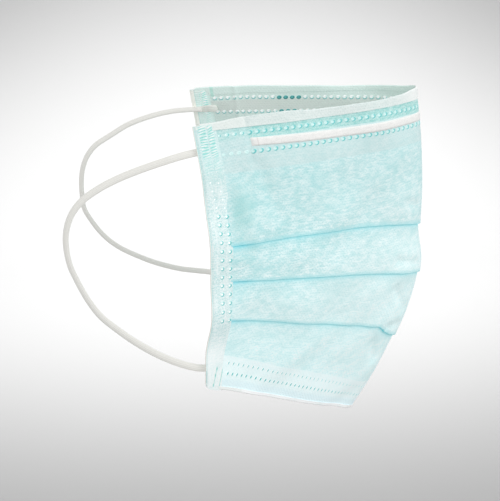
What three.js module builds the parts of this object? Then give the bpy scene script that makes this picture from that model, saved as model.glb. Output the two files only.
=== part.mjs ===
// Surgical face mask with three pleats and two ear loops, in the opened shape that it has when worn.
// Millimetres, +Z up, nose towards -Y, ears towards +Y, the wearer's left at +X.
// The origin is where the inner face of the top edge sits on the bridge of the nose.

import * as THREE from 'three';

// Overall form
const NOSE_TO_CHIN = 130;      // drop of the middle fold from the top edge to the bottom edge
const SIDE_HEIGHT = 88;        // drop of each ear edge from its upper to its lower corner
const EAR_CORNER_DROP = 6;     // how far the upper ear corners lie below the nose
const NOSE_TO_EAR = 81;        // how far the ear edges lie behind the nose
const EAR_HALF_WIDTH = 46;     // half the width between the ear edges where they are widest apart
const CHIN_SETBACK = 18;       // how far the chin lies behind the nose
const LINE_LIFT = 3.5;         // how far the pleat lines rise between the fold and the ear edge
const LEFT_SWING = 5.5;        // how far the wearer's left side hangs forward at its lower corner

// Cloth and pleats
const BODY_WALL = 1;           // the three plies of the body together
const GAP = 0.3;               // clearance between neighbouring pieces
const LAYER_STEP = BODY_WALL + GAP;  // distance between the folded layers of a pleat
const PLEAT_DEPTH = 6.5;       // how far a pleat is folded up behind itself at the ear edge
const PLEAT_DEPTH_FOLD = 4;    // the same at the middle fold, where the pleats are pulled open
const FLAT_TOP = 14;           // plain zone under the top edge, which carries the nose strip
const FLAT_BOTTOM = 11;        // plain zone above the bottom edge

// Edges, nose strip and side bands
const HEM_HEIGHT = 3;          // how far the folded edge bindings reach over the body
const HEM_WALL = 1;
const NOSE_STRIP_TOP = 7.4;    // distance of the nose strip from the top edge
const NOSE_STRIP_HEIGHT = 3.2;
const NOSE_STRIP_WALL = 1;
const NOSE_STRIP_HALF = 75;    // length of the nose strip on each side of the middle fold
const SIDE_BAND_WIDTH = 7.5;   // welded strip along each ear edge
const SIDE_BAND_WALL = 2.4;

// Ear loops and their welded ends
const LOOP_WIDTH = 2.5;
const LOOP_THICKNESS = 1.6;
const WELD_LENGTH = 8;
const WELD_WIDTH = 3.4;
const WELD_WALL = 1.2;
const WELD_INSET = 4;          // distance of a welded end from the ear edge
const WELD_TOP_DROP = 8;       // distance of the upper welded end from the top edge
const WELD_BOTTOM_RISE = 5;    // distance of the lower welded end from the bottom edge

// Mesh density
const COLUMNS_PER_SIDE = 21;
const BAND_COLUMNS = 2;
const BAND_ROWS = 18;
const LOOP_SIDES = 8;
const LOOP_STEPS = 64;
const STEPS_PER_LINE = 24;

// Lines across the mask from the top edge to the bottom edge. Each runs from the middle fold to both ear edges.
// fold and side: drop at the fold and at the ear edge, in shares of NOSE_TO_CHIN and SIDE_HEIGHT
// front: setback of the fold, in shares of CHIN_SETBACK; back: setback of the ear edge, in shares of NOSE_TO_EAR
// spread: place of the ear edge sideways, in shares of EAR_HALF_WIDTH
// round and power: how blunt the fold is, and how far the line bows out between the fold and the ear edge
// lift and swing: shares of LINE_LIFT and LEFT_SWING
const LINES = [
  { fold: 0, side: 0, front: 0, back: 1, spread: 0.72, round: 0.10, power: 1.75, lift: 0, swing: 0 },
  { fold: 0.157, side: 0.18, front: -0.17, back: 0.965, spread: 0.82, round: 0.12, power: 1.65, lift: 0.15, swing: 0 },
  { fold: 0.284, side: 0.31, front: -0.23, back: 0.95, spread: 0.88, round: 0.13, power: 1.55, lift: 0.4, swing: 0.1 },
  { fold: 0.4, side: 0.435, front: -0.24, back: 0.94, spread: 0.94, round: 0.13, power: 1.45, lift: 0.85, swing: 0.3 },
  { fold: 0.555, side: 0.57, front: -0.3, back: 0.94, spread: 0.97, round: 0.13, power: 1.4, lift: 0.85, swing: 0.6 },
  { fold: 0.758, side: 0.725, front: 0.15, back: 0.945, spread: 0.99, round: 0.12, power: 1.3, lift: 1, swing: 1 },
  { fold: 0.91, side: 0.87, front: 0.64, back: 0.97, spread: 1, round: 0.12, power: 1.25, lift: 0.7, swing: 1.05 },
  { fold: 1, side: 1, front: 1, back: 0.975, spread: 1, round: 0.12, power: 1.22, lift: 0.15, swing: 1.1 },
];
const PLEAT_LINES = [3, 4, 5];

// Routes of the ear loops from the upper welded end to the lower one, measured from the origin
const RIGHT_LOOP_ROUTE = [
  [-32.4, 75, -14.1], [-33.7, 79.6, -14.7], [-35.1, 84, -15.4], [-36.1, 88.5, -16.5], [-36.9, 96.1, -18.8],
  [-37.5, 104.4, -21.9], [-38.1, 110.8, -25.1], [-38.5, 116.1, -28.9], [-39, 119.7, -33.6], [-39.4, 121.7, -40.4],
  [-40.1, 121.1, -49.3], [-40.6, 118.9, -55.5], [-41.2, 115.5, -62.6], [-41.7, 111.7, -68.2], [-42.2, 106.7, -72.8],
  [-42.9, 100.1, -77.9], [-43.6, 92.1, -82.6], [-44.3, 84.7, -86.1], [-44.2, 79.8, -87.3], [-42.6, 75.5, -88.1],
];
const LEFT_LOOP_ROUTE = [
  [32.4, 75, -14.1], [33.8, 80, -14.3], [35.2, 85.9, -14.8], [35.9, 93.5, -16.3], [36.7, 103.9, -20],
  [37.3, 111.3, -24.4], [37.9, 118, -28.9], [38.2, 121.5, -33.3], [38.6, 123.6, -38.6], [39, 124.5, -44.1],
  [39.4, 124.6, -49.8], [39.7, 124.2, -55.4], [40.2, 121.7, -61], [40.7, 116.8, -68.2], [41.3, 110.8, -73.7],
  [42.2, 101.4, -79.1], [43, 95, -82.1], [44.2, 85.4, -85.4], [45, 78.5, -87], [44.6, 73.8, -87.9],
  [42.7, 70.3, -88.3],
];

const TEAL = 0xc6ebec;
const PALE_TEAL = 0xdff1f1;
const WHITE = 0xf0f2f0;
const WARM_WHITE = 0xdcdcd6;

// One line across half the mask: side is 1 for the wearer's left and -1 for the right.
class HalfLine extends THREE.Curve {
  constructor(line, side) {
    super();
    this.line = line;
    this.side = side;
  }

  // The setback grows like a rounded power of the way sideways, so the fold is blunt and the cheek bows out.
  getPoint(t, target = new THREE.Vector3()) {
    const { fold, side, front, back, spread, round, power, lift, swing } = this.line;
    const bluntness = round ** power;
    const bow = ((t * t + round * round) ** (power / 2) - bluntness)
      / ((1 + round * round) ** (power / 2) - bluntness);
    const forward = this.side > 0 ? LEFT_SWING * swing * t * t : 0;
    return target.set(
      this.side * EAR_HALF_WIDTH * spread * t,
      THREE.MathUtils.lerp(CHIN_SETBACK * front, NOSE_TO_EAR * back, bow) - forward,
      THREE.MathUtils.lerp(-NOSE_TO_CHIN * fold, -EAR_CORNER_DROP - SIDE_HEIGHT * side, bow)
        + LINE_LIFT * lift * 4 * t * (1 - t),
    );
  }
}

const halfLines = new Map([-1, 1].map((side) => [side, LINES.map((line) => new HalfLine(line, side))]));
const HALF_WIDTH = halfLines.get(-1)[PLEAT_LINES[0]].getLength();
const BAND_START = 1 - SIDE_BAND_WIDTH / HALF_WIDTH;
const BODY_END = BAND_START - GAP / HALF_WIDTH;

// A column runs down the cloth at one share of the way from the fold (0) to an ear edge (-1 or 1).
const columns = new Map();
function columnAt(along) {
  if (!columns.has(along)) {
    const points = halfLines.get(along < 0 ? -1 : 1).map((half) => half.getPointAt(Math.min(Math.abs(along), 1)));
    const curve = new THREE.CatmullRomCurve3(points);
    curve.arcLengthDivisions = (LINES.length - 1) * STEPS_PER_LINE;
    const lengths = curve.getLengths();
    const drops = LINES.map((_, row) => lengths[row * STEPS_PER_LINE]);
    columns.set(along, { curve, drops, length: drops.at(-1) });
  }
  return columns.get(along);
}

// A point on a column, drop millimetres below the top edge, and straight on past either end.
function pointOn(column, drop) {
  const share = THREE.MathUtils.clamp(drop / column.length, 0, 1);
  const past = drop - share * column.length;
  return column.curve.getPointAt(share).addScaledVector(column.curve.getTangentAt(share), past);
}

// The local frame of the cloth: the point, the directions down and across, and the outward normal.
function clothFrame(along, drop) {
  const reach = 0.004;
  const column = columnAt(along);
  const ahead = columnAt(Math.min(along + reach, 1));
  const behind = columnAt(Math.max(along - reach, -1));
  const share = drop / column.length;
  const point = pointOn(column, drop);
  const down = column.curve.getTangentAt(THREE.MathUtils.clamp(share, 0, 1));
  const across = pointOn(ahead, share * ahead.length).sub(pointOn(behind, share * behind.length));
  const outward = new THREE.Vector3().crossVectors(down, across).normalize();
  across.crossVectors(outward, down).normalize();
  return { point, down, across, outward };
}

function place(along, drop, proud) {
  const { point, outward } = clothFrame(along, drop);
  return point.addScaledVector(outward, proud);
}

// Moves a path of [drop, proud] points sideways by a distance, with mitred corners.
function offsetPath(path, distance) {
  const normals = path.slice(1).map(([drop, proud], i) => {
    const along = new THREE.Vector2(drop - path[i][0], proud - path[i][1]).normalize();
    return new THREE.Vector2(-along.y, along.x);
  });
  return path.map(([drop, proud], i) => {
    const before = normals[Math.max(i - 1, 0)];
    const after = normals[Math.min(i, normals.length - 1)];
    const mitre = before.clone().add(after).multiplyScalar(distance / (1 + before.dot(after)));
    return [drop + mitre.x, proud + mitre.y];
  });
}

// A closed sheet of cloth. pathAt gives the path of its middle surface at each station along the mask.
function clothGeometry(stations, pathAt, wall) {
  const positions = [];
  for (const along of stations) {
    const path = pathAt(along);
    for (const distance of [wall / 2, -wall / 2]) {
      for (const [drop, proud] of offsetPath(path, distance)) {
        positions.push(...place(along, drop, proud).toArray());
      }
    }
  }
  const rows = pathAt(stations[0]).length;
  const outer = (station, row) => station * 2 * rows + row;
  const inner = (station, row) => outer(station, row) + rows;
  const indices = [];
  const quad = (a, b, c, d) => indices.push(a, b, c, a, c, d);
  for (let station = 0; station + 1 < stations.length; station += 1) {
    const next = station + 1;
    for (let row = 0; row + 1 < rows; row += 1) {
      quad(outer(station, row), outer(station, row + 1), outer(next, row + 1), outer(next, row));
      quad(inner(station, row), inner(next, row), inner(next, row + 1), inner(station, row + 1));
    }
    quad(outer(station, 0), outer(next, 0), inner(next, 0), inner(station, 0));
    const last = rows - 1;
    quad(outer(station, last), inner(station, last), inner(next, last), outer(next, last));
  }
  for (let row = 0; row + 1 < rows; row += 1) {
    const end = stations.length - 1;
    quad(outer(0, row), inner(0, row), inner(0, row + 1), outer(0, row + 1));
    quad(outer(end, row), outer(end, row + 1), inner(end, row + 1), inner(end, row));
  }
  const geometry = new THREE.BufferGeometry();
  geometry.setAttribute('position', new THREE.Float32BufferAttribute(positions, 3));
  geometry.setIndex(indices);
  geometry.computeVertexNormals();
  return geometry;
}

// Stations from one end of a piece to the other, closer together at the blunt fold.
function stationsTo(end) {
  const stations = [];
  for (let i = -COLUMNS_PER_SIDE; i <= COLUMNS_PER_SIDE; i += 1) {
    const share = Math.abs(i) / COLUMNS_PER_SIDE;
    stations.push(Math.sign(i) * end * share ** 1.35);
  }
  return stations;
}

// The body's middle surface down one column: flat zone, three pleats folded up behind themselves, flat zone.
function pleatedPath(along) {
  const { drops, length } = columnAt(along);
  const openness = 1 - Math.abs(along) / BODY_END;
  const depth = THREE.MathUtils.lerp(PLEAT_DEPTH, PLEAT_DEPTH_FOLD, openness);
  const path = [[0, 0], [FLAT_TOP / 2, 0], [FLAT_TOP, 0]];
  for (const line of PLEAT_LINES) {
    const lip = drops[line];
    const [drop, proud] = path.at(-1);
    path.push([(drop + lip - depth) / 2, (proud + LAYER_STEP) / 2]);
    path.push([lip - depth, LAYER_STEP], [lip, LAYER_STEP], [lip, 0]);
    path.push([lip - depth, 0], [lip - depth, -LAYER_STEP], [lip, -LAYER_STEP]);
  }
  const [drop, proud] = path.at(-1);
  const flat = length - FLAT_BOTTOM;
  path.push([(drop + flat) / 2, proud / 2], [flat, 0], [length - FLAT_BOTTOM / 2, 0], [length, 0]);
  return path;
}

const hemOffset = BODY_WALL / 2 + GAP + HEM_WALL / 2;
const hemPast = GAP + HEM_WALL / 2;

// The edge bindings are folded over the edges of the body, seen in section as a U.
function topHemPath() {
  return [[HEM_HEIGHT, -hemOffset], [-hemPast, -hemOffset], [-hemPast, hemOffset], [HEM_HEIGHT, hemOffset]];
}

function bottomHemPath(along) {
  const { length } = columnAt(along);
  return [
    [length - HEM_HEIGHT, hemOffset], [length + hemPast, hemOffset],
    [length + hemPast, -hemOffset], [length - HEM_HEIGHT, -hemOffset],
  ];
}

function noseStripPath() {
  const proud = BODY_WALL / 2 + GAP + NOSE_STRIP_WALL / 2;
  return [[NOSE_STRIP_TOP, proud], [NOSE_STRIP_TOP + NOSE_STRIP_HEIGHT, proud]];
}

// The side band is as tall as the body and both bindings together.
function sideBandPath(along) {
  const { length } = columnAt(along);
  const past = GAP + HEM_WALL;
  const path = [];
  for (let row = 0; row <= BAND_ROWS; row += 1) {
    path.push([THREE.MathUtils.lerp(-past, length + past, row / BAND_ROWS), 0]);
  }
  return path;
}

function sideBandStations(side) {
  const stations = [];
  for (let i = 0; i <= BAND_COLUMNS; i += 1) {
    stations.push(side * THREE.MathUtils.lerp(BAND_START, 1, i / BAND_COLUMNS));
  }
  return stations.sort((a, b) => a - b);
}

// The cloth is set forward by the thickness of its edge, so that the inner face of the edge is at the origin.
const mask = new THREE.Group();
const cloth = new THREE.Group();
cloth.position.y = -(hemOffset + HEM_WALL / 2);
mask.add(cloth);

function addPiece(parent, name, geometry, color, roughness) {
  const material = new THREE.MeshStandardMaterial({ color, roughness, metalness: 0 });
  const mesh = new THREE.Mesh(geometry, material);
  mesh.name = name;
  parent.add(mesh);
  return mesh;
}

// A loop's flattened end, welded to the inner face of the side band
function addWeld(name, side, drop) {
  const middle = side * (1 - (WELD_INSET + WELD_LENGTH / 2) / HALF_WIDTH);
  const { point, down, across, outward } = clothFrame(middle, drop);
  const inward = outward.clone().negate();
  const weld = addPiece(cloth, name, new THREE.BoxGeometry(WELD_LENGTH, WELD_WIDTH, WELD_WALL), WARM_WHITE, 0.8);
  weld.setRotationFromMatrix(new THREE.Matrix4().makeBasis(across, down, inward));
  weld.position.copy(point).addScaledVector(inward, SIDE_BAND_WALL / 2 + GAP + WELD_WALL / 2);
}

// A loop of flat knitted elastic, an ellipse in section
function addLoop(name, route) {
  const path = new THREE.CatmullRomCurve3(route.map((point) => new THREE.Vector3(...point)));
  const section = new THREE.Shape();
  section.absellipse(0, 0, LOOP_WIDTH / 2, LOOP_THICKNESS / 2, 0, 2 * Math.PI);
  const settings = { steps: LOOP_STEPS, curveSegments: LOOP_SIDES / 2, extrudePath: path };
  addPiece(mask, name, new THREE.ExtrudeGeometry(section, settings), WARM_WHITE, 0.85);
}

const bodyStations = stationsTo(BODY_END);
addPiece(cloth, 'pleated_body', clothGeometry(bodyStations, pleatedPath, BODY_WALL), TEAL, 0.75);
addPiece(cloth, 'top_hem', clothGeometry(bodyStations, topHemPath, HEM_WALL), WHITE, 0.8);
addPiece(cloth, 'bottom_hem', clothGeometry(bodyStations, bottomHemPath, HEM_WALL), WHITE, 0.8);
addPiece(
  cloth,
  'nose_strip',
  clothGeometry(stationsTo(NOSE_STRIP_HALF / HALF_WIDTH), noseStripPath, NOSE_STRIP_WALL),
  WHITE,
  0.6,
);

for (const [name, side] of [['right', -1], ['left', 1]]) {
  const band = clothGeometry(sideBandStations(side), sideBandPath, SIDE_BAND_WALL);
  addPiece(cloth, `side_band_${name}`, band, PALE_TEAL, 0.75);
  addWeld(`loop_weld_${name}_top`, side, WELD_TOP_DROP);
  addWeld(`loop_weld_${name}_bottom`, side, columnAt(side).length - WELD_BOTTOM_RISE);
}

addLoop('ear_loop_right', RIGHT_LOOP_ROUTE);
addLoop('ear_loop_left', LEFT_LOOP_ROUTE);

export default mask;
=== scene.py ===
from math import pi, radians

import bpy
import numpy as np
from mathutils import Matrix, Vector


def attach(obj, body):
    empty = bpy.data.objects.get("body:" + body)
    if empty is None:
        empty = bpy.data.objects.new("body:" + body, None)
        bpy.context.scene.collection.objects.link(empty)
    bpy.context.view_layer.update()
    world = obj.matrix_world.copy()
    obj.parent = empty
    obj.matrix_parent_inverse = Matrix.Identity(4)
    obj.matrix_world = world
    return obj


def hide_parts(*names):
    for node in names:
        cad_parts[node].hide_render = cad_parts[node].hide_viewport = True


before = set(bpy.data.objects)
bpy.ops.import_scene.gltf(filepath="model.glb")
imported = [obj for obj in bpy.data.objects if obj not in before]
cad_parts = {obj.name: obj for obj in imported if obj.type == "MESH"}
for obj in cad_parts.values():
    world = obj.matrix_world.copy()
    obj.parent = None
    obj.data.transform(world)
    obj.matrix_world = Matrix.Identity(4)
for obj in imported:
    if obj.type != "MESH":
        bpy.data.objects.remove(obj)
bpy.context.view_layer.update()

# Camera
# It stands to the right of the mask, as worn, a little above the top edge, and looks down at it. The place
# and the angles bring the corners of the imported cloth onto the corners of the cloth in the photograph.
camera_data = bpy.data.cameras.new("camera")
camera_data.sensor_fit = "HORIZONTAL"
camera_data.sensor_width = 36
camera_data.lens = 64.8
camera_data.clip_start = 0.01
camera = bpy.data.objects.new("camera", camera_data)
camera.location = (-0.320, 0.08306, 0.05742)
camera.rotation_euler = (radians(69.671), 0, radians(-94.412))
bpy.context.scene.collection.objects.link(camera)
bpy.context.scene.camera = camera
bpy.context.scene.view_settings.view_transform = "Standard"

# Ear loops
# Two loops of flat knitted elastic, warm white, one on each side. Each is a single length of cord, whose two
# flattened ends are welded to the inner face of the side band. The ribs of the knit run along it.
MM = 0.001
TINY = 1e-12
LOOP_WIDTH = 2.5
LOOP_THICKNESS = 1.6
LOOP_RINGS = 420
SPAN_STEPS = 24
RING_POINTS = 48
RIBS = 12
RIB_HEIGHT = 0.05
STITCH_LENGTH = 0.9
# turn of the flat section about the cord, in degrees, at the upper end, halfway and at the lower end
RIGHT_TWIST = (30, 54, -16)
LEFT_TWIST = (70, 48, 8)

RIGHT_LOOP_ROUTE = [
    (-32.4, 75, -14.1), (-33.7, 79.6, -14.7), (-35.1, 84, -15.4), (-36.1, 88.5, -16.5),
    (-36.9, 96.1, -18.8), (-37.5, 104.4, -21.9), (-38.1, 110.8, -25.1), (-38.5, 116.1, -28.9),
    (-39, 119.7, -33.6), (-39.4, 121.7, -40.4), (-40.1, 121.1, -49.3), (-40.6, 118.9, -55.5),
    (-41.2, 115.5, -62.6), (-41.7, 111.7, -68.2), (-42.2, 106.7, -72.8), (-42.9, 100.1, -77.9),
    (-43.6, 92.1, -82.8), (-44.3, 84.7, -85.9), (-44.2, 79.8, -87.4), (-42.6, 75.5, -88.5),
]
LEFT_LOOP_ROUTE = [
    (32.4, 75, -13.6), (33.8, 80, -14), (35.2, 85.9, -14.7), (35.9, 93.5, -16.3), (36.7, 103.9, -20),
    (37.3, 111.3, -24.4), (37.9, 118, -28.9), (38.2, 121.5, -33.3), (38.6, 123.6, -38.6),
    (39, 124.5, -44.1), (39.4, 124.6, -49.8), (39.7, 124.2, -55.4), (40.2, 121.7, -61),
    (40.7, 116.8, -68.2), (41.3, 110.8, -73.7), (42.2, 101.4, -79.1), (43, 95, -82.1),
    (44.2, 85.4, -85.4), (45, 78.5, -86.8), (44.6, 73.8, -87.3), (42.7, 70.3, -87.2),
]


def smooth_route(knots, steps):
    """Centripetal Catmull-Rom curve through the knots (..., k, 3), with the given steps in each span.

    Each span is timed by the square root of its chord. The tangent at a knot weighs the chords beside it by
    those times, and the span is the cubic with these ends and tangents. The end knots are mirrored
    outwards."""
    before_first = 2 * knots[..., :1, :] - knots[..., 1:2, :]
    after_last = 2 * knots[..., -1:, :] - knots[..., -2:-1, :]
    k = np.concatenate([before_first, knots, after_last], axis=-2)
    time = np.sqrt(np.linalg.norm(np.diff(k, axis=-2), axis=-1, keepdims=True))
    a, b, c, d = k[..., :-3, :], k[..., 1:-2, :], k[..., 2:-1, :], k[..., 3:, :]
    earlier, span, later = time[..., :-2, :], time[..., 1:-1, :], time[..., 2:, :]
    leave = ((b - a) / earlier - (c - a) / (earlier + span) + (c - b) / span) * span
    arrive = ((c - b) / span - (d - b) / (span + later) + (d - c) / later) * span
    u = (np.arange(steps) / steps)[:, None]
    b, c, leave, arrive = (x[..., None, :] for x in (b, c, leave, arrive))
    square = 3 * (c - b) - 2 * leave - arrive
    cube = 2 * (b - c) + leave + arrive
    curve = b + leave * u + square * u ** 2 + cube * u ** 3
    curve = curve.reshape(*knots.shape[:-2], -1, 3)
    return np.concatenate([curve, knots[..., -1:, :]], axis=-2)


def running_length(points):
    """Length of each polyline (..., m, 3) from its first point to each of its points."""
    chords = np.linalg.norm(np.diff(points, axis=-2), axis=-1)
    return np.concatenate([np.zeros((*chords.shape[:-1], 1)), np.cumsum(chords, axis=-1)], axis=-1)


def evenly(points, count):
    """count points at equal distances along each polyline (n, m, 3), straight between its points.

    All lines are searched at once: line i has its running share in [2i, 2i + 1]."""
    lines, m, _ = points.shape
    run = running_length(points)
    row = np.arange(lines)[:, None]
    shares = run / run[:, -1:] + 2 * row
    wanted = np.linspace(0, 1, count) + 2 * row
    found = np.searchsorted(shares.ravel(), wanted.ravel(), side="right").reshape(lines, count) - 1
    found = np.minimum(found - m * row, m - 2)
    low, high = shares[row, found], shares[row, found + 1]
    part = ((wanted - low) / np.maximum(high - low, TINY))[..., None]
    return points[row, found] * (1 - part) + points[row, found + 1] * part


def unit(vectors):
    """The same directions with length 1."""
    return vectors / np.maximum(np.linalg.norm(vectors, axis=-1, keepdims=True), TINY)


def new_piece(name, points, faces, values, sharp=50):
    """A mesh object from points in millimetres and arrays of corner numbers, which rides on the root body.

    values holds one number or one vector for each point, by attribute name. Edges over the sharp angle stay
    crisp."""
    mesh = bpy.data.meshes.new(name)
    corners = [face for part in faces for face in part.tolist()]
    mesh.from_pydata((points.reshape(-1, 3) * MM).tolist(), [], corners)
    mesh.polygons.foreach_set("use_smooth", np.ones(len(mesh.polygons), bool))
    for key, value in values.items():
        kind, field = ("FLOAT_VECTOR", "vector") if value.shape[-1] == 3 else ("FLOAT", "value")
        mesh.attributes.new(key, kind, "POINT").data.foreach_set(field, value.astype(np.float32).ravel())
    mesh.set_sharp_from_angle(angle=radians(sharp))
    mesh.update()
    piece = bpy.data.objects.new(name, mesh)
    bpy.context.scene.collection.objects.link(piece)
    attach(piece, "root")
    return piece


def tube_faces(rings, around):
    """Quads between neighbouring rings, and at each end a fan around a middle point that follows them."""
    ring, spot = np.meshgrid(np.arange(rings - 1), np.arange(around), indexing="ij")
    after = (spot + 1) % around
    here, there = ring * around, (ring + 1) * around
    sides = np.stack([here + spot, here + after, there + after, there + spot], -1).reshape(-1, 4)
    spot, after = spot[0], after[0]
    first, last = rings * around, rings * around + 1
    end = (rings - 1) * around
    caps = np.concatenate([
        np.stack([np.full(around, first), after, spot], -1),
        np.stack([np.full(around, last), end + spot, end + after], -1),
    ])
    return [sides, caps]


def elastic_rings(centres, thin, wide, thickness, width):
    """Rings of a ribbed ellipse: the ellipse's point at each angle, pushed out by a cosine that has RIBS
    crests."""
    angle = np.arange(RING_POINTS) * 2 * pi / RING_POINTS
    crest = RIB_HEIGHT * np.cos(RIBS * angle)
    across = np.cos(angle) * (thickness[:, None] / 2 + crest)
    along = np.sin(angle) * (width[:, None] / 2 + crest)
    return centres[:, None] + across[..., None] * thin[:, None] + along[..., None] * wide[:, None]


def elastic_piece(name, centres, thin, wide, thickness, width):
    """A closed length of elastic. Its strand attribute counts ribs around it and stitches along it."""
    rings = elastic_rings(centres, thin, wide, thickness, width)
    points = np.concatenate([rings.reshape(-1, 3), centres[:1], centres[-1:]])
    around = np.tile(np.arange(RING_POINTS) * RIBS / RING_POINTS, len(centres))
    stitches = np.repeat(running_length(centres) / STITCH_LENGTH, RING_POINTS)
    strand = np.stack([around, stitches, np.zeros_like(around)], -1)
    strand = np.concatenate([strand, strand[:1], strand[-1:]])
    return new_piece(name, points, tube_faces(len(centres), RING_POINTS), {"strand": strand}, sharp=80)


class Shade:
    """A value inside a material. Arithmetic with it adds Math nodes."""

    def __init__(self, finish, socket):
        self.finish = finish
        self.socket = socket

    def math(self, operation, *terms):
        return self.finish.math(operation, *terms)

    def __add__(self, other):
        return self.math("ADD", self, other)

    def __sub__(self, other):
        return self.math("SUBTRACT", self, other)

    def __rsub__(self, other):
        return self.math("SUBTRACT", other, self)

    def __mul__(self, other):
        return self.math("MULTIPLY", self, other)

    def __abs__(self):
        return self.math("ABSOLUTE", self)

    __radd__ = __add__
    __rmul__ = __mul__


class Finish:
    """One material. node() adds a node by its type, its settings, and the values or links of its sockets."""

    def __init__(self, name):
        self.material = bpy.data.materials.new(name)
        self.material.use_nodes = True
        self.tree = self.material.node_tree
        self.tree.nodes.clear()

    def node(self, kind, settings=None, sockets=None, output=0):
        added = self.tree.nodes.new(kind)
        for key, value in (settings or {}).items():
            setattr(added, key, value)
        for key, value in (sockets or {}).items():
            if isinstance(value, Shade):
                self.tree.links.new(value.socket, added.inputs[key])
            else:
                added.inputs[key].default_value = value
        return Shade(self, added.outputs[output])

    def math(self, operation, *terms):
        """A Math node of the terms."""
        return self.node("ShaderNodeMath", {"operation": operation}, dict(enumerate(terms)))

    def mixed(self, factor, first, second):
        """The first colour where factor is 0 and the second where it is 1."""
        return self.node("ShaderNodeMix", {"data_type": "RGBA"}, {0: factor, 6: first, 7: second}, output=2)

    def layered(self, colour, *layers):
        """The colour with layers over it, from the lowest up: each has a mask, a strength and its colour."""
        for mask, strength, layer in layers:
            colour = self.mixed(mask * strength, colour, layer)
        return colour

    def step(self, value, low, high):
        """0 below low and 1 above high, smooth between them; the other way round where low is above high."""
        ends = {0: value, 1: min(low, high), 2: max(low, high), 3: float(low > high), 4: float(low < high)}
        return self.node("ShaderNodeMapRange", {"interpolation_type": "SMOOTHSTEP"}, ends)

    def vector(self, attribute):
        """A vector attribute of the piece."""
        return self.node("ShaderNodeAttribute", {"attribute_name": attribute}, output=1)

    def number(self, attribute):
        """A number attribute of the piece."""
        return self.node("ShaderNodeAttribute", {"attribute_name": attribute}, output=2)

    def place(self):
        """Object coordinates, in metres."""
        return self.node("ShaderNodeTexCoord", output=3)

    def parts(self, vector):
        """The x, y and z of a vector."""
        split = self.node("ShaderNodeSeparateXYZ", None, {0: vector}).socket.node
        return [Shade(self, socket) for socket in split.outputs]

    def noise(self, vector, stretch, detail=2.0, roughness=0.5):
        """Noise of the vector after each of its parts is multiplied by its stretch."""
        stretched = self.node("ShaderNodeVectorMath", {"operation": "MULTIPLY"}, {0: vector, 1: stretch})
        sockets = {"Vector": stretched, "Scale": 1.0, "Detail": detail, "Roughness": roughness}
        return self.node("ShaderNodeTexNoise", None, sockets)

    def cover(self, colour, roughness, relief, depth, sheen=0.0, glow=None, glow_strength=0.0):
        """Ends the material in a Principled surface whose bump has the relief's height, depth metres deep.

        The glow is painted light: emission that stands for light coming through thin cloth and lifts shaded
        places."""
        bump = self.node("ShaderNodeBump", None, {"Height": relief, "Distance": depth, "Strength": 1.0})
        sockets = {"Base Color": colour, "Roughness": roughness, "Normal": bump, "Sheen Weight": sheen}
        sockets |= {"Specular IOR Level": 0.25, "Emission Strength": glow_strength}
        if glow:
            sockets["Emission Color"] = glow
        surface = self.node("ShaderNodeBsdfPrincipled", None, sockets)
        end = self.tree.nodes.new("ShaderNodeOutputMaterial")
        self.tree.links.new(surface.socket, end.inputs["Surface"])
        return self.material


def tint(red, green, blue):
    """A display colour from 0 to 255 as the linear colour that a shader takes."""
    shown = np.array([red, green, blue]) / 255
    linear = np.where(shown <= 0.04045, shown / 12.92, ((shown + 0.055) / 1.055) ** 2.4)
    return (*linear, 1.0)


def knitted_elastic():
    """Warm white yarn: a V of stitches on each rib, with painted shade in the grooves between the ribs.

    About half of its paleness is painted glow, which stands for light that sinks into the open knit and comes
    out all round."""
    finish = Finish("ear_elastic")
    strand = finish.vector("strand")
    around, along, _ = finish.parts(strand)
    rib = abs(finish.math("FRACT", around + 0.5) - 0.5) * 2
    stitch = finish.math("SINE", (along + rib * 0.5) * (2 * pi))
    fuzz = finish.noise(strand, (3.0, 2.5, 1.0), detail=4)
    groove = finish.step(rib, 0.55, 1.0)
    colour = finish.layered(
        tint(184, 183, 178),
        # painted shade in the grooves between the ribs
        (groove, 0.6, tint(160, 159, 153)),
        (fuzz, 0.35, tint(196, 195, 191)),
    )
    relief = stitch * 0.2 - groove * 0.8 + fuzz * 0.6
    # painted glow: emission that lifts the yarn, on its shaded side too
    light = tint(255, 255, 251)
    return finish.cover(colour, 0.85, relief, 0.00004, sheen=0.1, glow=light, glow_strength=0.32)


elastic = knitted_elastic()
loop_centres = {}
for name, route, twist in (("right", RIGHT_LOOP_ROUTE, RIGHT_TWIST), ("left", LEFT_LOOP_ROUTE, LEFT_TWIST)):
    centres = evenly(smooth_route(np.array([route], float), SPAN_STEPS), LOOP_RINGS)[0]
    forward = unit(np.gradient(centres, axis=0))
    sideways = np.array([1.0, 0, 0])
    side_on = unit(sideways - forward * (forward @ sideways)[:, None])
    edge_on = np.cross(forward, side_on)
    turn = np.radians(np.interp(np.linspace(0, 1, LOOP_RINGS), (0, 0.5, 1), twist))[:, None]
    thin = side_on * np.cos(turn) + edge_on * np.sin(turn)
    wide = np.cross(forward, thin)
    thickness, width = np.full(LOOP_RINGS, LOOP_THICKNESS), np.full(LOOP_RINGS, LOOP_WIDTH)
    loop = elastic_piece(f"ear_loop_{name}_knit", centres, thin, wide, thickness, width)
    loop.data.materials.append(elastic)
    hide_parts(f"ear_loop_{name}")
    tuple(centres[0] * MM)
    float(running_length(centres)[-1]) * MM
    (centres[::4] * MM).tolist() + [(centres[-1] * MM).tolist()]
    loop_centres[name] = centres

# Form of the cloth
# Every cloth piece lies on one surface: it is folded down the middle of the face, cups forward over the nose
# and mouth, and goes back to the ears. Lines run across it from the fold to the ears, and columns run down it.
NOSE_TO_CHIN = 130
SIDE_HEIGHT = 88
EAR_CORNER_DROP = 6
NOSE_TO_EAR = 81
EAR_HALF_WIDTH = 46
CHIN_SETBACK = 18
LINE_LIFT = 3.5
LEFT_SWING = 5.5
EDGE_SETBACK = 1.8
HALF_LINE_POINTS = 1200
FORM_COLUMNS = 801
FORM_ROWS = 401

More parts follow.
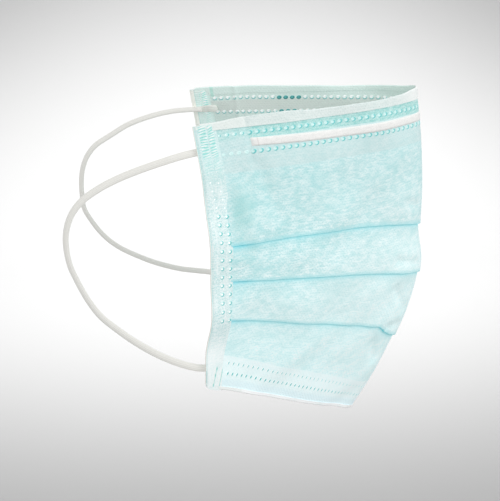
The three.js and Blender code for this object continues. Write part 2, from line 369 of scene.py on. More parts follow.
# fold, ear, front, back, spread, blunt, power, lift, swing: the shares of the solid, except that the last two
# lines lie a little further back at the fold, and the last one bows up more, as the bottom edge does
LINES = np.array([
    (0, 0, 0, 1, 0.72, 0.10, 1.75, 0, 0),
    (0.157, 0.18, -0.17, 0.965, 0.82, 0.12, 1.65, 0.15, 0),
    (0.284, 0.31, -0.23, 0.95, 0.88, 0.13, 1.55, 0.4, 0.1),
    (0.4, 0.435, -0.24, 0.94, 0.94, 0.13, 1.45, 0.85, 0.3),
    (0.555, 0.57, -0.3, 0.94, 0.97, 0.13, 1.4, 0.85, 0.6),
    (0.758, 0.725, 0.15, 0.945, 0.99, 0.12, 1.3, 1, 1),
    (0.91, 0.87, 0.675, 0.97, 1, 0.12, 1.25, 0.7, 1.05),
    (1, 1, 1.05, 0.975, 1, 0.12, 1.22, 0.33, 1.1),
])
PLEAT_LINES = [3, 4, 5]


def glide(x):
    """0 to 1 with level ends: three times the square less twice the cube."""
    x = np.clip(x, 0, 1)
    return x * x * (3 - 2 * x)


def between(first, second, part):
    """first where the part is 0 and second where it is 1, in a straight line."""
    return first + (second - first) * part


def half_lines(side, count):
    """count points at equal distances on each line of one half, from the fold to the ear.

    Sideways, a line goes evenly. Backwards and downwards it goes by the bow, which grows like a rounded
    power."""
    fold, ear, front, back, spread, blunt, power, lift, swing = LINES.T[:, :, None]
    t = np.linspace(0, 1, HALF_LINE_POINTS)
    least = blunt ** power
    bow = ((t ** 2 + blunt ** 2) ** (power / 2) - least) / ((1 + blunt ** 2) ** (power / 2) - least)
    forward = LEFT_SWING * swing * t ** 2 * (side > 0)
    high, low = -NOSE_TO_CHIN * fold, -EAR_CORNER_DROP - SIDE_HEIGHT * ear
    points = np.stack([
        side * EAR_HALF_WIDTH * spread * t,
        between(CHIN_SETBACK * front, NOSE_TO_EAR * back, bow) - forward,
        between(high, low, bow) + LINE_LIFT * lift * 4 * t * (1 - t),
    ], -1)
    return evenly(points, count)


half_count = FORM_COLUMNS // 2 + 1
right_half, left_half = half_lines(-1, half_count), half_lines(1, half_count)
knots = np.concatenate([right_half[:, ::-1], left_half[:, 1:]], axis=1).transpose(1, 0, 2)
HALF_WIDTH = float(running_length(right_half)[PLEAT_LINES[0], -1])
column_curves = smooth_route(knots, SPAN_STEPS)
knot_drops = running_length(column_curves)[:, ::SPAN_STEPS]
form = evenly(column_curves, FORM_ROWS)
form[..., 1] -= EDGE_SETBACK
form_share = np.linspace(-1, 1, FORM_COLUMNS)
form_length = knot_drops[:, -1]


def normals_of(points):
    """Outward normals of a grid of points: the step down the cloth crossed with the step across it."""
    return unit(np.cross(np.gradient(points, axis=1), np.gradient(points, axis=0)))


BILLOW_SEED = 41
BILLOW_LENGTHS = (46, 37, 30, 25, 20, 17, 14)
BILLOW_STEEPNESS = 0.0055


def billows(across, drop):
    """Height of the soft waves in the cloth: a sum of sines in seeded directions, one for each length."""
    draw = np.random.default_rng(BILLOW_SEED)
    height = np.zeros_like(across)
    for length in BILLOW_LENGTHS:
        turn, start = draw.uniform(0, pi), draw.uniform(0, 2 * pi)
        wave = (across * np.cos(turn) + drop * np.sin(turn)) * 2 * pi / length + start
        height += np.sin(wave) * length * BILLOW_STEEPNESS
    return height


# across, drop of one end and of the other, width, height: in millimetres on the cloth; negative heights are
# dents
CREASES = [
    (-75.4, 0, -75.8, 14, 0.7, -0.3),
    (-74, 15, -69, 34, 2.6, -0.45),
    (-82, 22, -78, 40, 2.6, 0.35),
    (-14, 40, -7, 43, 1.3, -0.6),
    (-18, 62, -6, 66, 1.5, -0.7),
    (-16, 74, -6, 86, 1.6, -0.5),
    (-13, 91, -5, 93, 1.2, -0.8),
    (-16, 98, -10, 108, 1.6, -0.6),
    (-8, 110, -4, 116, 1.5, 0.4),
    (14, 40, 7, 43, 1.3, -0.6),
    (18, 62, 6, 66, 1.5, -0.7),
    (13, 91, 5, 93, 1.2, -0.8),
    (16, 98, 10, 108, 1.6, -0.6),
    (75.4, 0, 75.8, 14, 0.7, -0.3),
    (74, 15, 67, 36, 2.4, -0.45),
    (-30, 34, -46, 52, 3.5, -0.35),
    (28, 36, 44, 50, 3.5, -0.35),
    (-24, 70, -40, 74, 3.0, 0.3),
    (26, 66, 42, 72, 3.0, 0.3),
]


def creased(across, drop):
    """Height of the creases: each is a bell curve of the distance to a short straight line."""
    height = np.zeros_like(across)
    for a, b, c, d, width, tall in CREASES:
        part = ((across - a) * (c - a) + (drop - b) * (d - b)) / ((c - a) ** 2 + (d - b) ** 2)
        part = np.clip(part, 0, 1)
        away = np.hypot(across - a - part * (c - a), drop - b - part * (d - b))
        height += tall * np.exp(-(away / width) ** 2)
    return height


# share of the full height at the fold, and the distance from the fold at which the height is full
BILLOWS_AT_FOLD, BILLOWS_FULL_FROM = 0.15, 16
CREASES_AT_FOLD, CREASES_FULL_FROM = 0.4, 6
across_form = (form_share * HALF_WIDTH)[:, None] * np.ones(FORM_ROWS)
drop_form = form_length[:, None] * np.linspace(0, 1, FORM_ROWS)
from_fold = np.abs(across_form)
billow_share = between(BILLOWS_AT_FOLD, 1, glide(from_fold / BILLOWS_FULL_FROM))
crease_share = between(CREASES_AT_FOLD, 1, glide(from_fold / CREASES_FULL_FROM))
relief = billows(across_form, drop_form) * billow_share + creased(across_form, drop_form) * crease_share
form += normals_of(form) * relief[..., None]
form_normals = normals_of(form)
form_down = unit(np.gradient(form, axis=1))


def from_table(table, column, row):
    """A table's value between its four nearest entries, weighted by nearness; straight on past its ends."""
    i = np.clip(np.floor(column).astype(int), 0, table.shape[0] - 2)
    j = np.clip(np.floor(row).astype(int), 0, table.shape[1] - 2)
    p, q = (column - i)[..., None], (row - j)[..., None]
    top = table[i, j] * (1 - p) + table[i + 1, j] * p
    bottom = table[i, j + 1] * (1 - p) + table[i + 1, j + 1] * p
    return top * (1 - q) + bottom * q


def column_length(share):
    """Length of the cloth from edge to edge at a share of the way across: -1 at the right ear, 1 at the
    left."""
    return np.interp(share, form_share, form_length)


def eased(x, places, values):
    """The values at the places, joined by glides."""
    places, values = np.asarray(places, float), np.asarray(values, float)
    after = np.clip(np.searchsorted(places, x), 1, len(places) - 1)
    part = glide((x - places[after - 1]) / (places[after] - places[after - 1]))
    return between(values[after - 1], values[after], part)


# distance from the fold, and how far each pleat's lip hangs below its line there
LIP_PLACES = (0, 4, 8, 12.5, 15.5, 17.5, 24, 35, 60, 86)
LIP_SHIFTS = (
    (0, 0, 0, -0.1, -0.2, -0.2, -0.35, -0.5, 0.05, 0.4),
    (-0.5, -0.5, -0.4, -0.2, -0.1, -0.1, 0, 0, 0.3, 0.1),
    (0, 0, -0.1, -0.9, -2.2, -2.9, -2.2, -1.3, -1.05, -0.7),
)


def lip_drop(share, pleat):
    """Drop of a pleat's lower fold at a share of the way across."""
    line = np.interp(share, form_share, knot_drops[:, PLEAT_LINES[pleat]])
    return line + eased(np.abs(share) * HALF_WIDTH, LIP_PLACES, LIP_SHIFTS[pleat])


# place across, right ear to left ear, and how far the cut top edge lies below the form's edge there
TOP_EDGE_PLACES = (-93, -86, -77, -62, -48, -36, -23, -13, -5, 0, 8, 20, 30, 47, 60, 72, 80, 86, 93)
TOP_EDGE_SHIFTS = (
    -0.5, -0.45, -0.95, -0.8, 0.3, 0.65, 0.85, 0.6, -0.1, -0.3,
    0.3, 0.45, 0.45, -0.15, -0.4, -0.7, -1.05, -1.05, -0.85,
)


def top_edge(share):
    """Drop of the cut top edge at a share of the way across."""
    return eased(share * HALF_WIDTH, TOP_EDGE_PLACES, TOP_EDGE_SHIFTS)


def on_cloth(share, drop, proud=0.0):
    """Point of the surface, drop millimetres below the top edge, plus proud times the outward normal."""
    share, drop, proud = np.broadcast_arrays(*(np.asarray(x, float) for x in (share, drop, proud)))
    length = column_length(share)
    within = np.clip(drop / length, 0, 1)
    where = (share + 1) / 2 * (FORM_COLUMNS - 1), within * (FORM_ROWS - 1)
    point, normal, down = (from_table(table, *where) for table in (form, form_normals, form_down))
    return point + unit(normal) * proud[..., None] + down * (drop - within * length)[..., None]


def sheet_faces(columns, rows, offset=0):
    """Quads of a grid of points, column by column, facing the side from which rows go down, columns right."""
    i, j = np.meshgrid(np.arange(columns - 1), np.arange(rows - 1), indexing="ij")
    a = i * rows + j + offset
    return np.stack([a, a + 1, a + rows + 1, a + rows], -1).reshape(-1, 4)


def walled(name, share, drop, proud, wall, values=None):
    """A closed sheet around the paths (drop, proud) of each column, wall thick, offset along their normals.

    Its faces come in three runs: the outer wall, the inner wall, and the four edges. The runs that it returns
    are 1 on the inner wall. The weave attribute is the distance across and along the cloth itself."""
    columns, rows = drop.shape
    size = columns * rows
    going = unit(np.stack([np.gradient(drop, axis=1), np.gradient(proud, axis=1)], -1))
    half = np.broadcast_to(wall, drop.shape) / 2
    outer = on_cloth(share, drop - going[..., 1] * half, proud + going[..., 0] * half)
    inner = on_cloth(share, drop + going[..., 1] * half, proud - going[..., 0] * half)
    outer_faces = sheet_faces(columns, rows)
    inner_faces = sheet_faces(columns, rows, size)[:, ::-1]
    column, row = np.arange(rows), np.arange(columns) * rows
    borders = ((column, False), (column + size - rows, True), (row, True), (row + rows - 1, False))
    rims = []
    for line, turned in borders:
        rim = np.stack([line[:-1], line[:-1] + size, line[1:] + size, line[1:]], -1)
        rims.append(rim[:, ::-1] if turned else rim)
    steps = np.diff(drop, axis=1, prepend=drop[:, :1]), np.diff(proud, axis=1, prepend=proud[:, :1])
    flat = np.zeros_like(drop)
    weave = np.stack([share * HALF_WIDTH, np.cumsum(np.hypot(*steps), axis=1), flat], -1)
    marks = {"weave": weave, "drop": drop, "rise": column_length(share) - drop, "tuck": flat}
    marks |= values or {}
    marks = {key: np.concatenate([value.reshape(size, -1)] * 2) for key, value in marks.items()}
    points = np.concatenate([outer.reshape(-1, 3), inner.reshape(-1, 3)])
    piece = new_piece(name, points, [outer_faces, inner_faces, *rims], marks)
    runs = np.repeat([0, 1, 0], [len(outer_faces), len(inner_faces), sum(len(rim) for rim in rims)])
    return piece, runs


# Pleated body
# Three plies of spunbond cloth in one, teal outside and pale inside. Three pleats are folded up behind
# themselves: pressed flat at the ears, where they are welded, and opened over the nose and mouth at the fold.
BODY_WALL = 0.28
BODY_COLUMNS = 281
BODY_CROWDING = 1.15
BODY_INSET = 2.0
EDGE_TURN = 0.34
STEP_AT_EAR = 0.36
STEP_AT_FOLD = 0.44
STEP_IN_WELD = 0.2
STEP_OPENS_OVER = 3.5
PLEAT_DEPTH = 6.5
PLEAT_DEPTH_FOLD = 4
FLAT_TOP = 14
FLAT_BOTTOM = 11
SIDE_BAND_WIDTH = 7.5
# rows above each lip and how they crowd towards the fold above them, then the same below the last pleat
PLEAT_ROWS = ((30, 1), (18, 1.3), (22, 1.3))
FOOT_ROWS, FOOT_CROWDING = 26, 1.2
TURN_POINTS = 6
# reach of the painted shadow below each lip, and the painted shade where the lip starts to turn under
LIP_SHADOW_REACH = 0.8
LIP_TURN_SHADE = 0.4


def body_shares():
    """Places of the columns from ear to ear, closer together at the blunt fold."""
    even = np.linspace(-1, 1, BODY_COLUMNS)
    return np.sign(even) * np.abs(even) ** BODY_CROWDING * (1 - BODY_INSET / HALF_WIDTH)


def pleated_paths(share):
    """Path (drop, proud, tuck shade) of the body's middle for each column: a flat zone, three pleats, a flat
    zone.

    A pleat goes down on the outside to its lip, turns in a half circle, goes up behind itself, turns again
    behind that, and goes down on the inside. Between pleats the cloth glides from the inside to the outside.
    The tuck shade is painted shade: it is 1 inside a pleat and fades over the cloth just below its lip,
    where the pleat's shadow falls."""
    openness = 1 - np.abs(share)
    from_ear = HALF_WIDTH * openness
    step = between(STEP_AT_EAR, STEP_AT_FOLD, openness)
    step = between(STEP_IN_WELD, step, glide((from_ear - SIDE_BAND_WIDTH) / STEP_OPENS_OVER))
    depth = between(PLEAT_DEPTH, PLEAT_DEPTH_FOLD, openness)
    length = column_length(share) - EDGE_TURN
    start, rear = top_edge(share) + EDGE_TURN, np.zeros_like(share)
    turn = np.linspace(0, pi, TURN_POINTS)
    half = step[:, None] / 2
    whole = np.ones_like(half)
    stretches = []
    for pleat, (rows, crowding) in enumerate(PLEAT_ROWS):
        lip = lip_drop(share, pleat)
        begin = start if pleat else np.full_like(start, FLAT_TOP)
        t = np.linspace(0, 1, rows, endpoint=False) ** crowding
        down = between(start[:, None], (lip - step / 2)[:, None], t)
        forward = glide((down - begin[:, None]) / (lip - depth - begin)[:, None])
        # painted shadow on the cloth just below the lip above
        shadow_under_lip = np.exp(-(down - start[:, None]) / LIP_SHADOW_REACH) * (pleat > 0)
        lower, upper = (lip - step / 2)[:, None], (lip - depth + step / 2)[:, None]
        halfway = (lower + upper) / 2
        # painted shade around the lip's turn, part way already at its start
        shade_in_lip_turn = np.clip(LIP_TURN_SHADE + 2 * turn / pi, 0, 1) * whole
        stretches += [
            (down, between(rear[:, None], step[:, None], forward), shadow_under_lip),
            (lower + half * np.sin(turn), half + half * np.cos(turn), shade_in_lip_turn),
            (halfway, 0 * half, whole),
            (upper - half * np.sin(turn), half * np.cos(turn) - half, whole * np.ones(TURN_POINTS)),
            (halfway, -2 * half, whole),
        ]
        start, rear = lip, -step
    t = np.linspace(0, 1, FOOT_ROWS) ** FOOT_CROWDING
    down = between(start[:, None], length[:, None], t)
    back = glide((down - start[:, None]) / (length - FLAT_BOTTOM - start)[:, None])
    # painted shadow below the last lip
    stretches.append((down, rear[:, None] * (1 - back), np.exp(-(down - start[:, None]) / LIP_SHADOW_REACH)))
    return (np.concatenate(parts, axis=1) for parts in zip(*stretches))


BOND_PITCH_ACROSS, BOND_PITCH_DOWN = 1.3, 0.85
BOND_NARROWING = 2.4


def cloth_texture(finish, weave):
    """Spunbond cloth: threads laid at random across it, clouds where it is thin, and a grid of bond points.

    Every second line of bond points is shifted by half a pitch. A point is where the distance to the middle
    of its cell is small."""
    across, down, _ = finish.parts(weave)
    threads = finish.noise(weave, (0.45, 1.5, 1.0), detail=4, roughness=0.62)
    fine = finish.noise(weave, (1.9, 3.1, 1.0), detail=3, roughness=0.6)
    clouds = finish.noise(weave, (0.08, 0.15, 1.0), detail=4, roughness=0.6)
    line = down * (1 / BOND_PITCH_DOWN)
    shifted = across * (1 / BOND_PITCH_ACROSS) + finish.math("FLOOR", line) * 0.5
    x = finish.math("FRACT", shifted) - 0.5
    y = finish.math("FRACT", line) - 0.5
    away = finish.math("SQRT", x * x * BOND_NARROWING + y * y)
    bond = finish.step(away, 0.34, 0.2)
    return threads, fine, clouds, bond


STRIP_END = 75.4
TOP_SLANT = 0.03
TEAL = tint(182, 227, 230)
THIN_TEAL = tint(240, 254, 254)
DEEP_TEAL = tint(158, 219, 221)
# strengths of the painted glow, emission that stands for light through the cloth, on the cover and on the
# inner ply
TUCK_GLOW = 0.22
INNER_GLOW = 0.04


def cover_cloth():
    """Teal outer ply: paler where folded cloth lies behind it and deeper beside the bands. Painted shade
    deepens it in the tucks, and painted light pales it along and towards the fold and low down, and glows in
    the lips' shaded undersides.

    The edges of what lies behind it wander with the threads, and the upper ones slant with the top edge."""
    finish = Finish("cover_cloth")
    weave = finish.vector("weave")
    drop, rise, tuck = finish.number("drop"), finish.number("rise"), finish.number("tuck")
    threads, fine, clouds, bond = cloth_texture(finish, weave)
    from_fold = abs(finish.parts(weave)[0])
    fray = threads - 0.5
    slanted = drop + from_fold * TOP_SLANT
    grain = finish.step(threads * 0.6 + fine * 0.4, 0.36, 0.64)
    mottle = finish.noise(weave, (0.27, 0.4, 1.0), detail=3, roughness=0.6)
    # paler towards the fold, more so lower down: painted light
    painted_light_to_fold = finish.step(from_fold, 70.0, 8.0) * (finish.step(drop, 28.0, 44.0) * 0.18 + 0.1)
    beside_band = finish.step(abs(from_fold - 81.5), 6.0, 2.0) * finish.step(abs(drop - 33), 17.0, 7.0)
    above_it = finish.step(abs(from_fold - 72), 9.0, 2.0) * finish.step(abs(drop - 21), 6.0, 1.0) * 0.6
    patch = (beside_band + above_it) * finish.step(threads + clouds, 0.75, 1.15)
    doubled_top = finish.step(slanted + fray * 0.8, 19.7, 18.9)
    doubled_foot = finish.step(rise + fray * 0.8, 13.6, 13.1)
    over_strip = finish.step(from_fold, STRIP_END + 0.3, STRIP_END - 0.3)
    above_strip = over_strip * finish.step(slanted, 8.9, 8.5)
    past_strip = finish.step(drop + fray * 2.0, 6.8, 5.0) * (1 - over_strip) * 0.5
    dense = finish.step(threads + fine, 0.8, 1.25)
    band_colour = finish.mixed(dense, tint(138, 210, 205), tint(204, 236, 233))
    fold_corner = finish.step(drop, 5.0, 4.0) * finish.step(from_fold, 8.0, 3.0)
    colour = finish.layered(
        finish.mixed(grain, TEAL, THIN_TEAL),
        (finish.step(mottle, 0.46, 0.64), 0.42, DEEP_TEAL),
        (finish.step(mottle, 0.5, 0.34), 0.22, tint(240, 253, 252)),
        (finish.step(clouds, 0.46, 0.7), 0.4, DEEP_TEAL),
        # darker towards the top, and paler low down, where the paleness is painted light for the weaker light
        # on the lower part
        (finish.step(drop, 46.0, 30.0), 0.26, tint(184, 219, 219)),
        (finish.step(drop, 42.0, 70.0), 0.38, tint(236, 255, 255)),
        # painted highlight along the fold
        (finish.step(from_fold, 3.0, 0.5), 0.5, tint(246, 252, 252)),
        (painted_light_to_fold, 1.0, tint(242, 252, 252)),
        (patch, 0.45, tint(156, 214, 212)),
        (bond, 0.14, DEEP_TEAL),
        (doubled_top, 0.55, tint(206, 226, 226)),
        (doubled_foot, 0.7, tint(240, 252, 253)),
        (finish.step(rise, 5.4, 3.4), 0.35, tint(206, 233, 244)),
        (above_strip + past_strip, 0.8, band_colour),
        (fold_corner, 0.6, tint(232, 244, 243)),
        # painted shade in the tucks and just below each lip, a deeper cyan near the ears
        (finish.math("POWER", tuck, 0.4), 0.4, tint(176, 229, 232)),
        (tuck, 0.8, tint(154, 225, 232)),
        (tuck * finish.step(from_fold, 77.0, 83.0), 0.6, tint(92, 206, 222)),
    )
    relief = threads * 0.5 + fine * 0.4 - bond * 0.5
    # painted glow: emission that grows towards the bottom and turns cyan in the lips' shaded undersides
    painted_glow_by_drop = finish.mixed(finish.step(drop, 50.0, 90.0), tint(40, 52, 52), tint(140, 160, 162))
    glow = finish.mixed(tuck, painted_glow_by_drop, tint(110, 210, 218))
    return finish.cover(colour, 0.8, relief, 0.00009, sheen=0.1, glow=glow, glow_strength=TUCK_GLOW)


def inner_ply():
    """Pale inner ply: a hint of teal shows through it, the strip's shadow is painted between the weld rows,
    painted shade darkens the tucks, and a faint painted glow lifts it.

    A short teal streak at the top marks where the bands begin."""
    finish = Finish("inner_ply")
    weave = finish.vector("weave")
    drop, tuck = finish.number("drop"), finish.number("tuck")
    threads, fine, clouds, bond = cloth_texture(finish, weave)
    from_fold = abs(finish.parts(weave)[0])
    grain = finish.step(threads * 0.5 + fine * 0.5, 0.36, 0.64)
    streak = finish.step(abs(from_fold - 84.9), 0.9, 0.4) * finish.step(drop, 3.6, 2.6)
    colour = finish.layered(
        tint(228, 247, 242),
        (grain, 0.4, tint(242, 252, 250)),
        (finish.step(clouds, 0.5, 0.75), 0.2, tint(216, 240, 234)),
        (finish.step(from_fold, 30.0, 8.0), 0.3, tint(216, 238, 229)),
        # painted shadow of the nose strip between the weld rows
        (finish.step(abs(drop - 7.6), 2.9, 2.2), 0.5, tint(226, 226, 222)),
        (streak, 0.4, tint(150, 236, 220)),
        # the bond points' own tone, and painted shade inside the tucks
        (bond * 0.1 + tuck * 0.3, 1.0, tint(196, 222, 216)),
    )
    relief = threads * 0.5 + fine * 0.4 - bond * 0.6
    # faint painted glow
    return finish.cover(colour, 0.85, relief, 0.0001, sheen=0.1, glow=colour, glow_strength=INNER_GLOW)


def dress(piece, outside, inside, runs):
    """Gives the piece one material on the faces of run 0 and another on those of run 1."""
    piece.data.materials.append(outside)
    piece.data.materials.append(inside)
    piece.data.polygons.foreach_set("material_index", runs)


cover, lining = cover_cloth(), inner_ply()
shares = body_shares()
drop, proud, tuck = pleated_paths(shares)
body_share = shares[:, None] * np.ones(drop.shape[1])
body, runs = walled("body_cloth", body_share, drop, proud, BODY_WALL, {"tuck": tuck})
dress(body, cover, lining, runs)
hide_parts("pleated_body")

# Edge bindings
# Strips of thin white cloth, folded over the top edge and the bottom edge and fixed by the weld points. The
# upper one shows 2 to 4 mm outside, the lower one only a narrow rim. Inside, they look like the lining.
HEM_WALL = 0.2
HEM_CLEARANCE = 0.04
TOP_LEG_AT_FOLD, TOP_LEG_AT_EAR = 3.9, 1.8
BOTTOM_LEG = 1.4
INNER_LEG = 2.2
LEG_POINTS = 6
HEM_TURN_POINTS = 9
HEM_POINTS = HEM_TURN_POINTS + 2 * LEG_POINTS
INNER_ROWS = LEG_POINTS + 3


def binding_paths(share, edge, outer_leg):
    """Path of a binding around an edge at its drop: up inside, in a half circle around it, down outside."""
    reach = BODY_WALL / 2 + HEM_CLEARANCE + HEM_WALL / 2
    turn = np.linspace(0, pi, HEM_TURN_POINTS)
    leg = np.linspace(1, 0, LEG_POINTS, endpoint=False)
    centre = (edge + EDGE_TURN)[:, None]
    inside = between(centre, INNER_LEG, leg)
    outside = between(centre, np.reshape(outer_leg, (-1, 1)), leg[::-1])
    drop = np.concatenate([inside, centre - reach * np.sin(turn), outside], axis=1)
    proud = np.concatenate([np.full(LEG_POINTS, -reach), -reach * np.cos(turn), np.full(LEG_POINTS, reach)])
    return drop, np.tile(proud, (len(share), 1))


def binding_cloth(name, low, high, glow):
    """White spunbond cloth with the bond points of the body: greyer over the strip, and whiter towards the
    fold as a painted highlight.
    """
    finish = Finish(name)
    weave = finish.vector("weave")
    threads, fine, clouds, bond = cloth_texture(finish, weave)
    from_fold = abs(finish.parts(weave)[0])
    grain = finish.step(threads * 0.5 + fine * 0.5, 0.38, 0.62)
    colour = finish.layered(
        low,
        (grain, 0.6, high),
        (finish.step(clouds, 0.45, 0.7), 0.3, tint(208, 226, 224)),
        (finish.step(from_fold, STRIP_END - 0.2, STRIP_END + 0.4), 0.6, tint(234, 240, 237)),
        # painted highlight towards the fold
        (finish.step(from_fold, 20.0, 4.0), 0.7, tint(248, 249, 248)),
    )
    relief = threads * 0.5 + fine * 0.4 - bond * 0.5
    return finish.cover(colour, 0.85, relief, 0.00008, sheen=0.1, glow=colour, glow_strength=glow)


# two copies of one cloth: the foot's is whiter and glows, painted light for the weaker light low on the mask
top_cloth = binding_cloth("edge_binding", tint(214, 227, 225), tint(242, 248, 246), 0.0)
foot_cloth = binding_cloth("edge_binding_foot", tint(246, 249, 250), tint(253, 254, 254), 0.06)
hem_share = shares[:, None] * np.ones(HEM_POINTS)
top_leg = between(TOP_LEG_AT_FOLD, TOP_LEG_AT_EAR, shares ** 2)
drop, proud = binding_paths(shares, top_edge(shares), top_leg)
top_hem, _ = walled("top_binding", hem_share, drop, proud, HEM_WALL)
drop, proud = binding_paths(shares, np.zeros_like(shares), BOTTOM_LEG)
length = column_length(shares)[:, None]
bottom_hem, _ = walled("bottom_binding", hem_share, length - drop[:, ::-1], proud[:, ::-1], HEM_WALL)
row = np.tile(np.arange(HEM_POINTS - 1), BODY_COLUMNS - 1)
for hem, node, cloth, inside in (
    (top_hem, "top_hem", top_cloth, row < INNER_ROWS),
    (bottom_hem, "bottom_hem", foot_cloth, row >= HEM_POINTS - 1 - INNER_ROWS),
):
    index = np.zeros(len(hem.data.polygons), int)
    index[:len(row)] = inside
    dress(hem, cloth, lining, index)
    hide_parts(node)

# Nose strip
# A bendable wire strip under white cloth, 75 mm to each side of the fold. It stands out as a raised bar
# between the two upper rows of weld points, and is flatter over the fold.
STRIP_TOP_AT_FOLD, STRIP_TOP_AT_END = 8.8, 6.2
STRIP_FOOT_AT_FOLD, STRIP_FOOT_AT_END = 11.8, 9.0
STRIP_HALF = 75
STRIP_RAISE = 0.55
STRIP_RAISE_AT_FOLD = 0.25
STRIP_RAISED_FROM = 14
STRIP_CLOTH = 0.06
STRIP_SUNK = 0.03
STRIP_COLUMNS = 241
STRIP_POINTS = 15
WIRE_END = 72.8


def strip_cloth():
    """Thin white cloth drawn tight over the wire, with a faint warm tone, and a line where the wire ends."""
    finish = Finish("nose_strip")
    weave = finish.vector("weave")
    threads, fine, _, bond = cloth_texture(finish, weave)
    from_fold = abs(finish.parts(weave)[0])
    grain = finish.step(threads * 0.4 + fine * 0.6, 0.36, 0.64)
    colour = finish.layered(
        finish.mixed(grain, tint(228, 229, 227), tint(244, 243, 241)),
        (finish.step(abs(from_fold - WIRE_END), 0.35, 0.1), 0.5, tint(212, 208, 206)),
    )
    relief = threads * 0.4 + fine * 0.4 - bond * 0.3
    return finish.cover(colour, 0.7, relief, 0.00005, sheen=0.1)


way = np.linspace(-1, 1, STRIP_COLUMNS)
profile = np.linspace(-1, 1, STRIP_POINTS)
from_fold = np.abs(way)[:, None]
end_fade = np.sqrt(np.clip(1 - from_fold ** 60, 0, 1))
strip_top = between(STRIP_TOP_AT_FOLD, STRIP_TOP_AT_END, from_fold ** 2)
strip_foot = between(STRIP_FOOT_AT_FOLD, STRIP_FOOT_AT_END, from_fold ** 2)
drop = strip_top + (strip_foot - strip_top) * (1 + profile) / 2
raised = between(STRIP_RAISE_AT_FOLD, STRIP_RAISE, glide(from_fold * STRIP_HALF / STRIP_RAISED_FROM))
swell = raised * (1 - np.abs(profile) ** 5) * end_fade
strip_share = way[:, None] * STRIP_HALF / HALF_WIDTH * np.ones(STRIP_POINTS)
strip_proud = BODY_WALL / 2 - STRIP_SUNK + swell / 2
strip, _ = walled("nose_strip_cover", strip_share, drop, strip_proud, STRIP_CLOTH + swell)
strip.data.materials.append(strip_cloth())
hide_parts("nose_strip")

# Side bands
# Along each ear edge the folded layers are pressed together and welded into a flat band. Near its top, two
# columns of short slanted bars hold the ear loop; at its foot are two long slanted ridges.
BAND_COLUMNS = 44
BAND_CROWDING = 1.1
BAND_TOP_ROWS, BAND_MIDDLE_ROWS, BAND_FOOT_ROWS = 260, 150, 100
BAND_TOP_PART, BAND_FOOT_PART = 22, 12
BAND_WALL = 0.95
BAND_EDGE_WALL, BAND_EDGE_FLAT, BAND_EDGE_TAPER = 0.4, 0.3, 0.7
BAND_INNER_THINNING, BAND_INNER_TAPER = 0.45, 2.4
TERRACE_HEIGHT = 0.1
CORNER_RADIUS = 2.4
FOOT_PAST = 0.3
# how far the ear edge stands out, how much more it does at the middle of its bulge, and where the bulge lies
EDGE_OUTSET, EDGE_BULGE = 0.4, 0.35
BULGE_DROP, BULGE_REACH = 19, 13
# distance from the ear edge and half width of each column of bars
BAR_COLUMNS = ((2.75, 1.4), (5.5, 1.2))
BAR_PITCH = 0.86
BAR_SLANT = 0.35
BAR_HEIGHT = 0.11
BARS_START_OVER, BARS_STRONG_TO, BARS_FAINT = 0.8, 11.5, 0.3
BARS_END = 19
# distance from the ear edge, slant and strength of each ridge, and distance and rise of each pressed dot
RIDGES = ((3.2, 0.19, 1.0), (6.0, 0.2, 1.5))
RIDGE_DOTS = ((3.3, 1.6), (6.05, 1.2), (4.7, 8.0), (4.05, 5.4), (7.3, 7.2))
RIDGE_HEIGHT = 0.14
RIDGE_WIDTH = 0.26
RIDGE_FOOT, RIDGE_TOP = 0.6, 9.3
FURROW_SHIFT = 0.4
DOT_AREA, DOT_STRETCH = 0.12, 1.5


def bars(inset, drop):
    """Height and mask of the weld bars: slanted waves down the band in two columns, fading at their foot.

    The waves' phase wanders with the drop, so that the bars are uneven, as pressed cloth is."""
    height, mask = np.zeros_like(drop), np.zeros_like(drop)
    for column, (place, half) in enumerate(BAR_COLUMNS):
        off = (inset - place) / half
        wander = 0.9 * np.sin(1.1 * drop + 2.1 * column) + 0.5 * np.sin(3.1 * drop + 2.6 * off + column)
        slant = BAR_SLANT * (off * (0.5 + 0.5 * column) + 0.5 * np.sin(0.5 * drop + 1.2 * off))
        wave = 0.5 + 0.5 * np.cos(2 * pi * (drop + slant) / BAR_PITCH + wander)
        wave = wave * (0.72 + 0.28 * np.sin(2.6 * off + 1.3 * drop + 2 * column))
        inside = glide((1 - np.abs(off)) * 3)
        height += wave * inside
        mask += inside
    strong = glide((BARS_STRONG_TO - drop) / 1.5)
    faint = BARS_FAINT * glide((drop - BARS_STRONG_TO + 1) / 1.5)
    fade = glide(drop / BARS_START_OVER) * (strong + faint) * glide((BARS_END - drop) / 5)
    return height * fade, mask * fade


def foot_ridges(inset, rise, shift):
    """Bell curves about two lines that slant towards the ear, moved by the shift: 1 on the lines."""
    height = np.zeros_like(rise)
    ends = glide((rise - RIDGE_FOOT) / 0.6), glide((RIDGE_TOP - rise) / 1.0)
    for place, slant, strength in RIDGES:
        off = (inset - place - slant * (rise - 1) - shift) / RIDGE_WIDTH
        height += strength * np.exp(-off ** 2) * ends[0] * ends[1]
    return height


def foot_dots(inset, rise):
    """Bell curves about the pressed dots on the ridges, a little longer than wide."""
    away = [(inset - x) ** 2 + ((rise - y) / DOT_STRETCH) ** 2 for x, y in RIDGE_DOTS]
    return sum(np.exp(-square / DOT_AREA) for square in away)


def band_wall(inset, drop, lips):
    """Thickness of the band: thin at the ear edge and where it meets the body, thicker over each pleat."""
    terrace = sum(glide((drop - lip + PLEAT_DEPTH) / PLEAT_DEPTH) * (drop < lip) for lip in lips)
    wall = between(BAND_EDGE_WALL, BAND_WALL, glide((inset - BAND_EDGE_FLAT) / BAND_EDGE_TAPER))
    thinning = BAND_INNER_THINNING * glide((inset - SIDE_BAND_WIDTH + BAND_INNER_TAPER) / BAND_INNER_TAPER)
    return wall - thinning + TERRACE_HEIGHT * terrace


